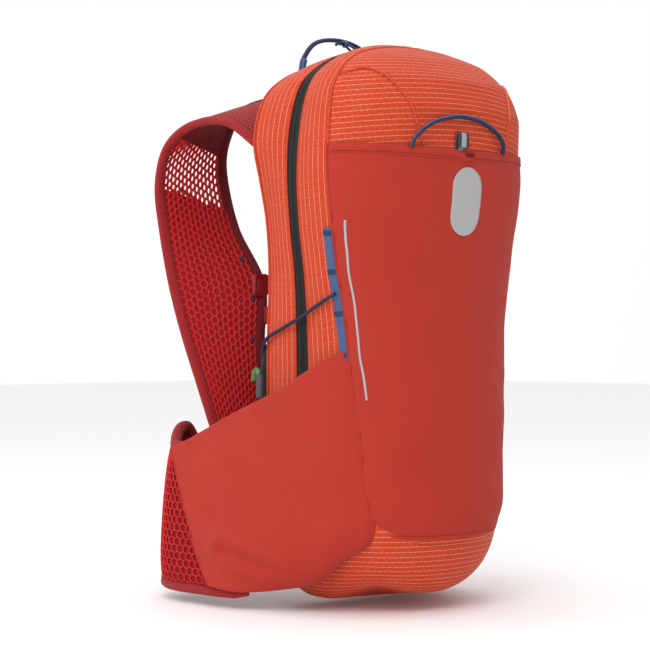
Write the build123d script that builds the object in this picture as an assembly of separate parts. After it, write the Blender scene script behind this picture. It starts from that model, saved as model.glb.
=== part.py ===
from build123d import *
import math
import os

# A 15-litre panel-loading daypack. Millimetres, +Z up, -Y the pack's outer front, +Y towards the wearer.
# The origin lies on the floor, below the middle of the bounding box.

# Driving dimensions
BACK_Y = 8.0  # plane of the back panel
ZIP_Y = -42.0  # plane of the main zip
FRONT_Y = -141.0  # flattest part of the front panel
WALL = 3.0  # stand-in thickness of the bag's fabric walls
FLAP_LOW = 195.0  # height of the fold that the front flap opens about
BASE_TOP = 60.0  # seam between base and walls
POCKET_STAND = 9.0  # how far the stash pocket stands off the front panel
POCKET_TOP = 394.0  # mouth of the stash pocket
GAP = 0.4  # clearance between parts that move apart
SIDE_X = 131.0  # outer face of the hip wings
REAR_Y = 150.0  # furthest reach of the harness
HAUL_TOP = 507.0  # crown of the haul loop
WING_HEIGHT = 150.0
WING_THICK = 8.0
WING_BEND = 70.0  # outer radius of the wing's quarter turn
POCKET_REST = 101.4  # above the fold the side pockets stay outside this x, so that the flap swings clear
SIDE_SLOPE = 0.083  # the bag widens by this much of each millimetre of height
WIDE_Z = 385.0  # height at which the stations give the half width
LOW_RADIUS = 50.0  # lower corners of the bag
LOOP_X = -12.0  # middle of the pocket loop and of the hanger tab

# Stations of the bag, from the back panel to the front: y, half width, low z, high z, top corner radius.
BAG_STATIONS = [
    (BACK_Y, 107.0, 6.0, 470.0, 84.0),
    (ZIP_Y, 111.0, -1.0, 480.0, 84.0),
    (-87.0, 113.0, -1.0, 482.0, 80.0),
    (-108.0, 104.0, 8.0, 478.0, 72.0),
    (-124.0, 90.0, 34.0, 464.0, 62.0),
    (-135.0, 72.0, 84.0, 446.0, 54.0),
    (FRONT_Y, 52.0, 150.0, 425.0, 45.0),
]
INSET_Y = [-6.0, 0.0, 1.0, 1.5, 2.0, 2.5, 3.0]  # how far each station of the cavity moves back

# Stations of the left shoulder strap, from its root at the yoke to its foot: outer edge, inner edge.
STRAP_STATIONS = [
    ((-104, 13, 416), (-34, 13, 438)),
    ((-105, 52, 428), (-34, 60, 450)),
    ((-107, 92, 426), (-33, 104, 446)),
    ((-108, 124, 408), (-32, 128, 426)),
    ((-108, 142, 374), (-33, 135, 392)),
    ((-108, 138, 330), (-40, 110, 336)),
    ((-107, 128, 282), (-44, 70, 284)),
    ((-107, 112, 236), (-50, 64, 236)),
    ((-106, 92, 192), (-54, 60, 190)),
    ((-104, 76, 152), (-62, 53, 150)),
]
STRAP_THICK = 7.0


def block(x0, x1, y0, y1, z0, z1):
    """Axis-aligned box between two corners."""
    return Pos((x0 + x1) / 2, (y0 + y1) / 2, (z0 + z1) / 2) * Box(x1 - x0, y1 - y0, z1 - z0)


def half_width(middle, z):
    """Half width at a height, for a station whose half width is middle at WIDE_Z."""
    return middle + (z - WIDE_Z) * SIDE_SLOPE


def bag_section(y, middle, low, high, radius, shrink=0.0):
    """Arch-topped outline, narrower towards the base."""
    low_radius = min(LOW_RADIUS, radius, 0.8 * half_width(middle, low))
    corners = [
        (-half_width(middle, low) + shrink, low + shrink),
        (half_width(middle, low) - shrink, low + shrink),
        (half_width(middle, high) - shrink, high - shrink),
        (-half_width(middle, high) + shrink, high - shrink),
    ]
    outline = make_face(Polyline(*corners, close=True))
    split = outline.vertices().sort_by(Axis.Y)
    outline = fillet(split[2:], radius - shrink)
    outline = fillet(outline.vertices().sort_by(Axis.Y)[:2], low_radius - shrink)
    return Plane(origin=(0, y, 0), x_dir=(1, 0, 0), z_dir=(0, -1, 0)) * outline


def bag_solid():
    """The whole bag as one filled form."""
    return loft([bag_section(*station) for station in BAG_STATIONS], ruled=True)


def bag_cavity():
    """The room inside the bag's walls."""
    rings = []
    for station, inset in zip(BAG_STATIONS, INSET_Y):
        rings.append(bag_section(station[0] + inset, *station[1:], shrink=WALL))
    return loft(rings, ruled=True)


def mirrored(shape):
    return mirror(shape, about=Plane.YZ)


def write(name, shape):
    """Writes one node, as a compound of its solids."""
    solids = shape.solids()
    export_step(Compound(children=list(solids)) if len(solids) > 1 else solids[0], f"parts/{name}.step")


def write_pair(name, left):
    write(f"{name}_left", left)
    write(f"{name}_right", mirrored(left))


# The bag's shells


def bag_shells():
    """Back panel, gussets, base, lower front and the opening flap, all cut from one hollow form."""
    solid = bag_solid()
    cavity = bag_cavity()
    shell = solid - cavity
    wide = 200.0
    tall = 600.0
    tape = 6.0
    frame_y = BACK_Y - 6.0
    parts = {}
    parts["back_panel"] = solid & block(-wide, wide, frame_y, BACK_Y, 0, tall)
    parts["rear_gusset"] = shell & block(-wide, wide, ZIP_Y, frame_y, BASE_TOP, tall)
    tape_zone = block(-wide, wide, ZIP_Y, ZIP_Y + tape, FLAP_LOW, tall)
    parts["zip_tape_rear"] = parts["rear_gusset"] & tape_zone
    parts["rear_gusset"] = parts["rear_gusset"] - tape_zone
    parts["base_panel"] = shell & block(-wide, wide, -wide, frame_y, 0, BASE_TOP)
    parts["lower_front"] = shell & block(-wide, wide, -wide, ZIP_Y, BASE_TOP, FLAP_LOW)
    flap = shell & block(-wide, wide, -wide, ZIP_Y - GAP, FLAP_LOW + GAP, tall)
    front_tape = block(-wide, wide, ZIP_Y - GAP - tape, ZIP_Y, FLAP_LOW, tall)
    parts["zip_tape_front"] = flap & front_tape
    parts["front_flap"] = flap - front_tape
    return solid, parts


def stash_pocket(solid):
    """Stretch pocket over the front, in an upper part on the flap and a lower part below its fold."""
    cloth = 2.5
    outer = Pos(0, -POCKET_STAND, 0) * solid
    inner = Pos(0, -POCKET_STAND + cloth, 0) * solid
    outline = [(-112, POCKET_TOP), (-96, 250), (-85, 110), (-72, 75), (-50, 64)]
    outline += [(-x, z) for x, z in reversed(outline)]
    plane = Plane(origin=(0, -98, 0), x_dir=(1, 0, 0), z_dir=(0, -1, 0))
    window = extrude(plane * make_face(Polyline(*outline, close=True)), 80)
    cover = (outer - inner) & window
    upper = cover & block(-150, 150, -200, 0, FLAP_LOW + GAP, 500)
    lower = cover & block(-150, 150, -200, 0, 0, FLAP_LOW)
    return upper, lower


def pocket_edge(front, middle, back, cloth):
    """Plan outline of the side pocket's wall at one height."""
    outer = ThreePointArc(front, middle, back)
    shift = Vector(cloth, 0)
    inner = ThreePointArc(Vector(*back) + shift, Vector(*middle) + shift, Vector(*front) + shift)
    return outer, inner, [outer, Line(outer @ 1, inner @ 0), inner, Line(inner @ 1, outer @ 0)]


def side_pocket(solid):
    """Left stretch pocket: a bowed wall beside the bag and a floor that closes it, its mouth sloping back."""
    low = 38.0
    high = 234.0
    cloth = 2.5
    _, low_inner, low_edge = pocket_edge((-84, -107), (-112, -60), (-124, -3), cloth)
    high_edge = pocket_edge((-101, -103), (-118, -60), (-129, -3), cloth)[2]
    low_face = Plane.XY.offset(low) * make_face(low_edge)
    high_face = Plane.XY.offset(high) * make_face(high_edge)
    wall = loft([low_face, high_face], ruled=True)
    rim = [(-120, 232), (10, 162), (10, 300), (-120, 300)]
    above = extrude(Plane.YZ.offset(-200) * make_face(Polyline(*rim, close=True)), 150)
    swing = block(-POCKET_REST, 0, -120, 10, FLAP_LOW - GAP, 300)
    wall = wall - above - solid - swing
    inside = (-60, -3), (-60, -107)
    edge = Pos(-cloth / 2, 0, 0) * low_inner
    room = [Line(inside[0], edge @ 0), edge, Line(edge @ 1, inside[1]), Line(inside[1], inside[0])]
    floor = extrude(Plane.XY.offset(low) * make_face(room), cloth) - solid
    floor = floor & block(-200, -60, -103, -3, 0, 100)
    return wall + floor


# Back system


def back_pads():
    """Two spine pads and a lumbar pad on the outside of the back panel."""
    spine = block(-78, -14, BACK_Y, BACK_Y + 9, 160, 396)
    spine = fillet(spine.edges().filter_by(Axis.Y), 24)
    spine = fillet(spine.faces().sort_by(Axis.Y)[-1].edges(), 5)
    lumbar = block(-62, 62, BACK_Y, BACK_Y + 11, 34, 148)
    lumbar = fillet(lumbar.edges().filter_by(Axis.Y), 30)
    lumbar = fillet(lumbar.faces().sort_by(Axis.Y)[-1].edges(), 6)
    return spine, lumbar


def frame_sheet():
    sheet = block(-66, 66, BACK_Y - 9, BACK_Y - 6.2, 56, 420)
    return fillet(sheet.edges().filter_by(Axis.Y), 40)


def hydration_sleeve():
    """Open-topped sleeve inside the bag, standing off the frame sheet so that a reservoir drops in."""
    sleeve_y = BACK_Y - 19
    front = fillet(block(-64, 64, sleeve_y, sleeve_y + 1.6, 64, 330).edges().filter_by(Axis.Y), 12)
    floor = block(-52, 52, sleeve_y + 1.6, BACK_Y - 9.2, 64, 66)
    return front + floor


# Harness


def strap_frame(index):
    """Plane across the strap at one station, with x along its width and z along its run."""
    mids = [(Vector(*a) + Vector(*b)) * 0.5 for a, b in STRAP_STATIONS]
    outer, inner = (Vector(*p) for p in STRAP_STATIONS[index])
    across = (inner - outer).normalized()
    run = mids[min(index + 1, len(mids) - 1)] - mids[max(index - 1, 0)]
    run = (run - across * run.dot(across)).normalized()
    return Plane(origin=mids[index], x_dir=across, z_dir=run), (inner - outer).length


def shoulder_strap():
    rings = []
    for index in range(len(STRAP_STATIONS)):
        plane, width = strap_frame(index)
        rings.append(plane * RectangleRounded(width, STRAP_THICK, 3.0))
    return loft(rings, ruled=True)


def ladder_lock():
    """Three-bar adjuster below the strap's foot, in the strap's own plane."""
    plane, width = strap_frame(len(STRAP_STATIONS) - 1)
    centre = plane.origin + plane.z_dir * 19
    face = Plane(origin=centre - plane.y_dir * 2, x_dir=plane.x_dir, z_dir=plane.y_dir)
    body = extrude(face * RectangleRounded(31, 24, 4), 4)
    for offset in (-5.6, 5.6):
        body -= extrude(face * Pos(0, offset, 0) * RectangleRounded(22.5, 5.2, 1.5), 4)
    grip = extrude(face * Pos(0, 10.4, 0) * RectangleRounded(26, 3, 1), 5.5)
    return body + grip, centre, plane


def lower_webbing(lock_centre, plane):
    """Webbing from the side seam up to the adjuster."""
    anchor = Vector(-74, BACK_Y + 12, 67)
    top = lock_centre + plane.z_dir * 17
    run = anchor - top
    across = (plane.x_dir - run * (plane.x_dir.dot(run) / run.dot(run))).normalized()
    strip = extrude(Plane(origin=top, x_dir=across, z_dir=run) * Rectangle(16, 1.8), run.length)
    tab = block(-82, -66, BACK_Y + GAP, BACK_Y + 12, 50, 64)
    return strip, fillet(tab.edges().filter_by(Axis.X), 1.2)


def hip_wing():
    """Padded wing: straight beside the bag, then a quarter turn round the wearer's waist."""
    thick = WING_THICK
    bend = WING_BEND
    start_y = 1.0
    x_mid = -SIDE_X + bend
    y_mid = REAR_Y - bend
    c45 = math.cos(math.radians(45))
    outer = [
        Line((-SIDE_X, start_y), (-SIDE_X, y_mid)),
        ThreePointArc((-SIDE_X, y_mid), (x_mid - bend * c45, y_mid + bend * c45), (x_mid, REAR_Y)),
    ]
    small = bend - thick
    inner_middle = (x_mid - small * c45, y_mid + small * c45)
    inner = [
        Line((x_mid, REAR_Y), (x_mid, REAR_Y - thick)),
        ThreePointArc((x_mid, REAR_Y - thick), inner_middle, (x_mid - small, y_mid)),
        Line((x_mid - small, y_mid), (x_mid - small, start_y)),
        Line((x_mid - small, start_y), (-SIDE_X, start_y)),
    ]
    return extrude(make_face(outer + inner), WING_HEIGHT)


def belt_webbing():
    """Waist webbing that leaves the end of the wing."""
    return block(-60.6, -39.6, REAR_Y - 5, REAR_Y - 3.2, 72, 97)


def belt_socket():
    """Female half of the waist buckle, a hollow housing with side windows."""
    x0, x1 = -38.6, -10
    body = block(x0, x1, REAR_Y - 9, REAR_Y - 0.5, 69, 100)
    body = fillet(body.edges().filter_by(Axis.X), 2.4)
    body -= block(x0 + 10, x1 + 1, REAR_Y - 7, REAR_Y - 2.5, 72.5, 96.5)
    body -= block(x0 + 14, x0 + 22, REAR_Y - 7, REAR_Y - 2.5, 60, 110)
    return body


def belt_prong():
    """Male half of the waist buckle: a webbing bar, a centre guide and two sprung arms."""
    x0, x1 = 10, 38.6
    plate = block(x1 - 12, x1, REAR_Y - 7.5, REAR_Y - 2, 69, 100)
    plate = fillet(plate.edges().filter_by(Axis.Y), 3)
    plate -= block(x1 - 7.5, x1 - 4.5, REAR_Y - 9, REAR_Y, 72.5, 96.5)
    guide = block(x0 + 2, x1 - 12, REAR_Y - 6.5, REAR_Y - 3, 82, 87)
    arms = [block(x0, x1 - 12, REAR_Y - 6.5, REAR_Y - 3, z, z + 3.4) for z in (74.5, 91.1)]
    return plate + guide + arms[0] + arms[1]


def strip_between(start, end, height, thick):
    """Flat webbing between two points, standing on edge."""
    run = end - start
    plane = Plane(origin=start, x_dir=Vector(0, 0, 1) - run * (run.Z / run.dot(run)), z_dir=run)
    return extrude(plane * Rectangle(height, thick), run.length)


def sternum_strap():
    """Hook that clips on the left strap, and the two legs that run from it to the right strap."""
    leg_y = 64.0
    hook = block(-57, -41, leg_y - 2, leg_y + 2, 273, 293)
    hook = fillet(hook.edges().filter_by(Axis.Y), 3)
    hook -= block(-54.5, -51, leg_y - 3, leg_y + 3, 277, 289)
    lower = block(-38.4, 43, leg_y - 0.7, leg_y + 0.7, 274, 282)
    upper = strip_between(Vector(-38.4, leg_y, 287.5), Vector(38.5, 101, 333), 8, 1.4)
    return hook, lower, upper


def hose_keeper():
    """Plastic clip beside the strap's inner edge, with its pull tab."""
    clip = fillet(block(-47.5, -41.7, 56.5, 61.5, 247, 263).edges().filter_by(Axis.Y), 1.5)
    tab = fillet(block(-41.7, -34.5, 57, 61, 249, 262).edges().filter_by(Axis.Y), 2.8)
    return clip, tab


# Loops, cords and small hardware


def arch(half_width, base, top, thick):
    """Half-ring in the XZ plane made of an arc, with short straight legs below it."""
    leg = base + (top - base) * 0.25
    outer = ThreePointArc((-half_width, leg), (0, top), (half_width, leg))
    inner = ThreePointArc((half_width - thick, leg), (0, top - thick), (-half_width + thick, leg))
    left = Polyline(inner @ 1, (-half_width + thick, base), (-half_width, base), outer @ 0)
    right = Polyline(outer @ 1, (half_width, base), (half_width - thick, base), inner @ 0)
    return make_face([outer, right, inner, left])


def haul_loop():
    plane = Plane(origin=(0, BACK_Y + 7, 0), x_dir=(1, 0, 0), z_dir=(0, -1, 0))
    return extrude(plane * arch(48, 460, HAUL_TOP, 4), 6)


def pocket_loop():
    plane = Plane(origin=(0, FRONT_Y - POCKET_STAND + 2.8, 0), x_dir=(1, 0, 0), z_dir=(0, -1, 0))
    return Pos(LOOP_X, 0, 0) * extrude(plane * arch(56, POCKET_TOP + 0.6, 424, 5), 2.8)


def hanger_tab():
    tab_y = FRONT_Y - 0.4
    tab = block(LOOP_X - 7, LOOP_X + 7, tab_y - 1.6, tab_y, POCKET_TOP - 22, POCKET_TOP + 13)
    return fillet(tab.edges().filter_by(Axis.X), 0.7)


def side_daisy():
    """Webbing ladder on the bag's side, beside the front seam."""
    low = Vector(-half_width(114.3, 217), -88.5, 217)
    high = Vector(-half_width(114.3, 321), -88.5, 321)
    run = high - low
    return extrude(Plane(origin=low, x_dir=(0, 1, 0), z_dir=run) * Rectangle(11, 1.8), run.length)


SIDE_CORD_POINTS = [
    (-107.6, -90, 272),
    (-106, -48, 254),
    (-101, -8, 236),
    (-95.5, 12.5, 217),
    (-91, 14.2, 203),
]
SIDE_CORD_RADIUS = 1.3


def cord_tube(points, radius):
    """Round cord along straight runs joined by arcs as large as the runs allow."""
    nodes = [Vector(*p) for p in points]
    radii = []
    for before, here, after in zip(nodes, nodes[1:], nodes[2:]):
        turn = math.radians((here - before).get_angle(after - here))
        radii.append(0.45 * min((here - before).length, (after - here).length) / math.tan(turn / 2))
    path = FilletPolyline(*points, radius=radii)
    section = Plane(origin=path @ 0, z_dir=path % 0) * Circle(radius)
    return sweep(section, path=path)


def cord_lock():
    """Tensioner at the back corner: a housing with a sprung button, hung from a webbing tab."""
    body = block(-97.5, -84.5, 10, 18, 183, 202.6)
    body = fillet(body.edges().filter_by(Axis.Z), 2.5)
    body -= Pos(-91, 14, 183) * Cylinder(3.6, 14)
    button = Pos(-91, 14, 182) * Cylinder(3.3, 12)
    corners = [(-90, 227), (-87, 227), (-84, 204), (-97, 204)]
    plane = Plane(origin=(0, BACK_Y + 1.8, 0), x_dir=(1, 0, 0), z_dir=(0, -1, 0))
    tab = extrude(plane * make_face(Polyline(*corners, close=True)), 1.2)
    return body, button, tab


def zip_slider():
    """Left slider at the start of the zip's corner, and its cord pull, both clear of the tape."""
    x_mid = -31.0
    seat = 481.8
    body = fillet(block(x_mid - 6, x_mid + 6, -46.6, -37.4, seat, seat + 2.6).edges().filter_by(Axis.Z), 2)
    bridge = block(x_mid - 4, x_mid + 4, -43.4, -40.6, seat + 2.6, seat + 6.4)
    bridge -= block(x_mid - 2.4, x_mid + 2.4, -45, -39, seat + 2.5, seat + 4.9)
    slider = body + bridge
    hole_z = seat + 3.7
    cord = 1.0
    link = Pos(x_mid, -42, hole_z) * Cylinder(cord, 7.6, rotation=(90, 0, 0))
    knot_x = x_mid - 14
    knot_z = hole_z + 6.0
    sides = []
    for y in (-45.8, -38.2):
        start = Vector(x_mid, y, hole_z)
        end = Vector(knot_x + 2, -42 + (y + 42) * 0.4, knot_z)
        side = Plane(origin=start, z_dir=end - start) * Circle(cord)
        sides.append(extrude(side, (end - start).length))
        sides.append(Pos(*start) * Sphere(cord * 1.02))
    knot = Pos(knot_x, -42, knot_z) * Sphere(3.4)
    tail = Pos(knot_x - 4.4, -42, knot_z + 0.6) * Rot(0, 84, 0) * Cylinder(1.6, 6)
    pull = link + sides[0] + sides[1] + sides[2] + sides[3] + knot + tail
    return slider, pull


def main():
    os.makedirs("parts", exist_ok=True)
    solid, shells = bag_shells()
    for name, shape in shells.items():
        write(name, shape)
    upper, lower = stash_pocket(solid)
    write("stash_pocket_upper", upper)
    write("stash_pocket_lower", lower)
    write_pair("side_pocket", side_pocket(solid))

    spine, lumbar = back_pads()
    write_pair("spine_pad", spine)
    write("lumbar_pad", lumbar)
    write("frame_sheet", frame_sheet())
    write("hydration_sleeve", hydration_sleeve())

    write_pair("shoulder_strap", shoulder_strap())
    lock, lock_centre, plane = ladder_lock()
    write_pair("ladder_lock", lock)
    strip, anchor = lower_webbing(lock_centre, plane)
    write_pair("lower_webbing", strip)
    write_pair("webbing_anchor", anchor)
    write_pair("hip_wing", hip_wing())
    write_pair("belt_webbing", belt_webbing())
    write("belt_socket", belt_socket())
    write("belt_prong", belt_prong())
    hook, lower_leg, upper_leg = sternum_strap()
    write("sternum_hook", hook)
    write("sternum_leg_lower", lower_leg)
    write("sternum_leg_upper", upper_leg)
    clip, tab = hose_keeper()
    write_pair("hose_clip", clip)
    write_pair("hose_clip_tab", tab)

    write("haul_loop", haul_loop())
    write("pocket_loop", pocket_loop())
    write("hanger_tab", hanger_tab())
    write_pair("side_daisy", side_daisy())
    write_pair("side_cord", cord_tube(SIDE_CORD_POINTS, SIDE_CORD_RADIUS))
    body, button, anchor = cord_lock()
    write_pair("cord_lock", body)
    write_pair("cord_lock_button", button)
    write_pair("cord_lock_tab", anchor)
    slider, pull = zip_slider()
    write_pair("zip_slider", slider)
    write_pair("zip_pull", pull)


main()
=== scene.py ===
import bpy
import math
import numpy as np
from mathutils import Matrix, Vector
from mathutils import noise


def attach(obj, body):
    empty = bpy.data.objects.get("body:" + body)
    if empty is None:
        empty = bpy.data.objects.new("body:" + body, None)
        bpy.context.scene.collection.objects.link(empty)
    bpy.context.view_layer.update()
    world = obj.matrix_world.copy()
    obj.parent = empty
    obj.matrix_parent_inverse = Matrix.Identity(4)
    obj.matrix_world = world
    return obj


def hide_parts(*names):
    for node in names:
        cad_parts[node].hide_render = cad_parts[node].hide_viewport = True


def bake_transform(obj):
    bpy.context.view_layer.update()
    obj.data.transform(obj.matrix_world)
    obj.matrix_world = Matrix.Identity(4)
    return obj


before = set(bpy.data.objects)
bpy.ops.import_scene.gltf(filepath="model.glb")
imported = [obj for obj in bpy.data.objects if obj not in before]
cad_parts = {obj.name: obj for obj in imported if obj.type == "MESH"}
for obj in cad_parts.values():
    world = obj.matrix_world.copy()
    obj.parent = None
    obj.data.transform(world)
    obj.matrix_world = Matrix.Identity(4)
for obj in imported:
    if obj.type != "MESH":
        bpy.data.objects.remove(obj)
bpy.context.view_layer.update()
mm = 0.001

view = {
    "direction": -45.0,  # degrees round from straight behind the wearer
    "distance": 1.760,
    "height": 0.241,
    "lens": 107.6,
    "shiftX": -0.0354,
    "shiftY": 0.0092,
}


def makeCamera():
    turn = math.radians(view["direction"])
    data = bpy.data.cameras.new("viewCamera")
    data.lens = view["lens"]
    data.shift_x = view["shiftX"]
    data.shift_y = view["shiftY"]
    camera = bpy.data.objects.new("viewCamera", data)
    camera.location = (math.sin(turn) * view["distance"], -math.cos(turn) * view["distance"], view["height"])
    camera.rotation_euler = (math.radians(90), 0, turn)
    bpy.context.scene.collection.objects.link(camera)
    bpy.context.scene.camera = camera


makeCamera()
print("camera placed")


class Wiring:
    # short calls that add and join shader nodes
    def __init__(self, tree):
        self.tree = tree

    def node(self, kind, **settings):
        made = self.tree.nodes.new(kind)
        for key, value in settings.items():
            setattr(made, key, value)
        return made

    def join(self, source, target):
        self.tree.links.new(source, target)

    def put(self, value, target):
        if isinstance(value, bpy.types.NodeSocket):
            self.join(value, target)
        else:
            target.default_value = value

    def math(self, operation, first, second=0.0, third=None, clamp=False):
        made = self.node("ShaderNodeMath", operation=operation, use_clamp=clamp)
        for value, socket in zip((first, second, third), made.inputs):
            if value is not None:
                self.put(value, socket)
        return made.outputs[0]

    def times(self, first, second, clamp=False):
        return self.math("MULTIPLY", first, second, clamp=clamp)

    def plus(self, first, second, clamp=False):
        return self.math("ADD", first, second, clamp=clamp)

    def minus(self, first, second, clamp=False):
        return self.math("SUBTRACT", first, second, clamp=clamp)

    def over(self, first, second):
        return self.math("DIVIDE", first, second)

    def mix(self, amount, first, second):
        made = self.node("ShaderNodeMix", data_type="RGBA")
        for value, socket in ((amount, 0), (first, 6), (second, 7)):
            self.put(value, made.inputs[socket])
        return made.outputs[2]

    def brighten(self, base, shade):
        made = self.node("ShaderNodeHueSaturation")
        self.put(base, made.inputs["Color"])
        self.put(self.plus(shade, 1.0), made.inputs["Value"])
        return made.outputs[0]

    def noise(self, vector, scale, detail=3.0, rough=0.55):
        made = self.node("ShaderNodeTexNoise")
        for key, value in (("Vector", vector), ("Scale", scale), ("Detail", detail), ("Roughness", rough)):
            self.put(value, made.inputs[key])
        return made.outputs["Fac"]

    def split(self, vector):
        made = self.node("ShaderNodeSeparateXYZ")
        self.put(vector, made.inputs[0])
        return made.outputs[0], made.outputs[1]

    def stripe(self, along, period, width):
        # soft-edged line in the middle of every period
        cell = self.math("FRACT", self.over(along, period))
        away = self.math("ABSOLUTE", self.minus(cell, 0.5))
        edge = self.over(width, self.times(period, 2.0))
        soft = self.minus(1.0, self.over(away, edge), clamp=True)
        return self.math("SMOOTH_MIN", self.times(soft, 2.0), 1.0, 0.3)


# each lamp is its place, its size and its power
light = {
    "key": ((-1.5, -0.9, 1.7), 1.1, 14.0),
    "fill": ((1.2, -1.7, 0.9), 1.6, 0.3),
    "rear": ((-1.3, 1.5, 1.0), 1.2, 5.0),
    "top": ((0.1, 0.0, 2.1), 1.2, 6.0),
    "aim": (0, 0, 0.25),
    "darkSide": (0.74, -0.62, -0.25),
    "shade": {"From Min": 0.2, "From Max": 0.75, "To Min": 1.0, "To Max": 0.3},
    "floorSide": 6.0,
    "floorLevel": -0.0005,
    "floor": {"Base Color": (0.95, 0.95, 0.95, 1), "Roughness": 0.9,
              "Emission Color": (1, 1, 1, 1), "Emission Strength": 0.02},
}


def addLamp(name, place, size, power):
    data = bpy.data.lights.new(name, "AREA")
    data.shape = "SQUARE"
    data.size = size
    data.energy = power
    lamp = bpy.data.objects.new(name, data)
    lamp.location = place
    aim = Vector(light["aim"]) - Vector(place)
    lamp.rotation_euler = aim.to_track_quat("-Z", "Y").to_euler()
    bpy.context.scene.collection.objects.link(lamp)


def makeStudio():
    for name in ("key", "fill", "rear", "top"):
        addLamp(name + "Lamp", *light[name])
    world = bpy.data.worlds.new("paleRoom")
    world.use_nodes = True
    room = world.node_tree.nodes["Background"]
    room.inputs["Color"].default_value = (1, 1, 1, 1)
    # the room is darker on the bag's right, so the front is shaded from left to right
    w = Wiring(world.node_tree)
    facing = w.node("ShaderNodeVectorMath", operation="DOT_PRODUCT")
    w.join(w.node("ShaderNodeTexCoord").outputs["Generated"], facing.inputs[0])
    facing.inputs[1].default_value = light["darkSide"]
    shade = w.node("ShaderNodeMapRange", interpolation_type="SMOOTHSTEP")
    w.join(facing.outputs["Value"], shade.inputs["Value"])
    for socket, value in light["shade"].items():
        shade.inputs[socket].default_value = value
    w.join(shade.outputs[0], room.inputs["Strength"])
    bpy.context.scene.world = world
    bpy.context.scene.view_settings.view_transform = "Standard"
    side, level = light["floorSide"], light["floorLevel"]
    mesh = bpy.data.meshes.new("floor")
    corners = [(x * side, y * side, level) for x, y in ((-1, -1), (1, -1), (1, 1), (-1, 1))]
    mesh.from_pydata(corners, [], [(0, 1, 2, 3)])
    floor = bpy.data.objects.new("floor", mesh)
    bpy.context.scene.collection.objects.link(floor)
    paint = bpy.data.materials.new("paleFloor")
    paint.use_nodes = True
    for socket, value in light["floor"].items():
        paint.node_tree.nodes["Principled BSDF"].inputs[socket].default_value = value
    mesh.materials.append(paint)


makeStudio()
print("studio lit")


def newGroup(name, inputs, outputs=("Colour", "Height")):
    # the first input is the place on the cloth; a tuple makes a colour input
    tree = bpy.data.node_groups.new(name, "ShaderNodeTree")
    tree.interface.new_socket(name="Place", in_out="INPUT", socket_type="NodeSocketVector")
    for label, value in inputs.items():
        kind = "NodeSocketColor" if isinstance(value, tuple) else "NodeSocketFloat"
        tree.interface.new_socket(name=label, in_out="INPUT", socket_type=kind).default_value = value
    for label in outputs:
        kind = "NodeSocketColor" if label == "Colour" else "NodeSocketFloat"
        tree.interface.new_socket(name=label, in_out="OUTPUT", socket_type=kind)
    given, out = tree.nodes.new("NodeGroupInput"), tree.nodes.new("NodeGroupOutput")
    return tree, Wiring(tree), given.outputs, out.inputs


def hue(r, g, b):
    return (r, g, b, 1.0)


ripstop = {
    "inputs": {"gap": 6.0, "width": 0.9, "dash": 3.2, "gridGap": 6.2, "base": hue(0.7, 0.08, 0.03),
               "thread": hue(0.8, 0.4, 0.3)},
    "rowShift": 1.37,
    "dashShare": 0.8,
    "slant": 0.577,
    "gridLines": (1.0, 1.2),
    "dull": hue(0.46, 0.028, 0.012),
    "grid": hue(0.68, 0.11, 0.04),
}


def ripstopGroup():
    # bright broken threads one way over a fine slanted grid
    tree, w, given, out = newGroup("ripstopThreads", ripstop["inputs"])
    x, y = w.split(given["Place"])
    thread = w.stripe(x, given["gap"], given["width"])
    row = w.math("FLOOR", w.over(x, given["gap"]))
    dash = w.math("FRACT", w.over(w.plus(y, w.times(row, ripstop["rowShift"])), given["dash"]))
    drawn = w.math("LESS_THAN", dash, ripstop["dashShare"])
    thread = w.times(thread, w.math("MULTIPLY_ADD", drawn, 0.75, 0.25))
    wander = w.noise(given["Place"], 0.05, 2.0)
    thread = w.times(thread, w.math("MULTIPLY_ADD", wander, 0.7, 0.45), clamp=True)
    slant = w.times(y, ripstop["slant"])
    level, leaning = ripstop["gridLines"]
    grid = w.stripe(y, given["gridGap"], level)
    for across in (w.plus(x, slant), w.minus(x, slant)):
        grid = w.math("MAXIMUM", grid, w.stripe(across, given["gridGap"], leaning))
    mottle = w.noise(given["Place"], 0.6, 4.0)
    base = w.mix(w.times(mottle, 0.35), given["base"], ripstop["dull"])
    base = w.mix(w.times(grid, w.times(wander, 0.55)), base, ripstop["grid"])
    w.join(w.mix(thread, base, given["thread"]), out["Colour"])
    w.join(w.plus(w.times(thread, 0.5), w.times(grid, 0.45)), out["Height"])
    return tree


def weaveGroup():
    # over and under weave with slubs and slow colour drift
    inputs = {"yarn": 0.7, "base": hue(0.5, 0.05, 0.03), "drift": 0.12, "slub": 0.3}
    tree, w, given, out = newGroup("wovenCloth", inputs)
    x, y = w.split(given["Place"])
    pitch = w.over(math.pi, given["yarn"])
    knit = w.times(w.math("SINE", w.times(x, pitch)), w.math("SINE", w.times(y, pitch)))
    slub = w.noise(given["Place"], 1.2, 5.0, 0.65)
    drift = w.noise(given["Place"], 0.02)
    shade = w.plus(w.times(w.minus(slub, 0.5), given["slub"]), w.times(w.minus(drift, 0.5), given["drift"]))
    shade = w.plus(shade, w.times(knit, 0.035))
    w.join(w.brighten(given["base"], shade), out["Colour"])
    w.join(w.plus(w.times(knit, 0.35), w.times(slub, 0.6)), out["Height"])
    return tree


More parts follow.
